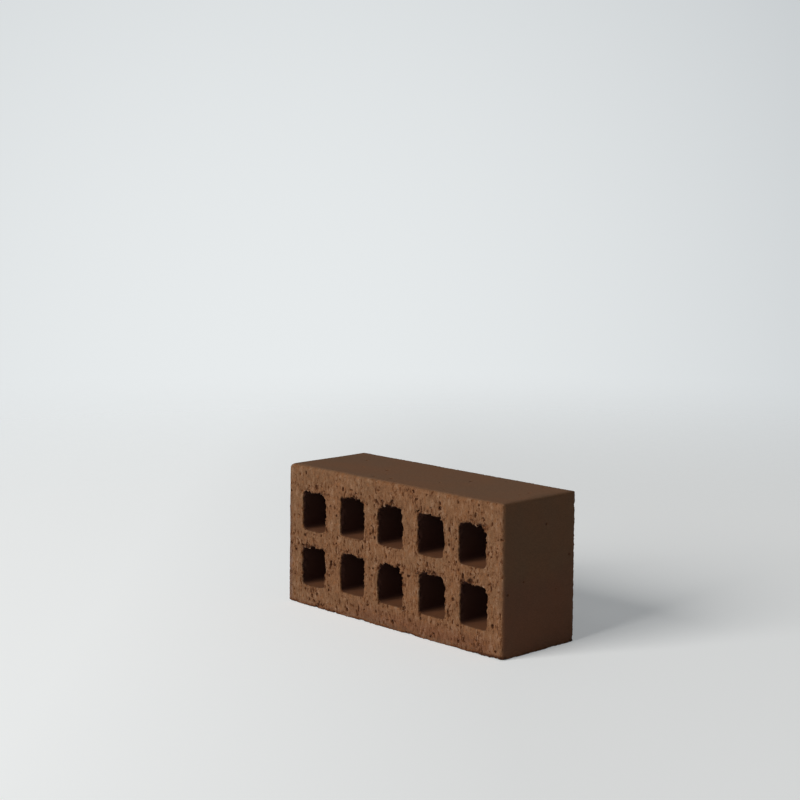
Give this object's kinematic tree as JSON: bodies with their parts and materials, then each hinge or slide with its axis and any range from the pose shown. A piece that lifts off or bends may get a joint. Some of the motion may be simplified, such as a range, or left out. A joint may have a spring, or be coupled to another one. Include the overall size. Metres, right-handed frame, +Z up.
{
  "type": "clay brick",
  "caption": "Extruded, wire-cut clay brick with two rows of square core holes through its thickness, standing on a long narrow face.",
  "frame": {"origin": "centre of the rectangle that the brick stands on, in the plane of its lower stretcher face", "axes": "+X along the length, +Y through the thickness, the way the clay left the die and the core holes run, +Z up across the width"},
  "size_m": [0.23, 0.076, 0.11],
  "materials": {
    "fired_clay": "matte"
  },
  "bodies": {
    "root": {"brick": "fired_clay"}
  },
  "joints": []
}
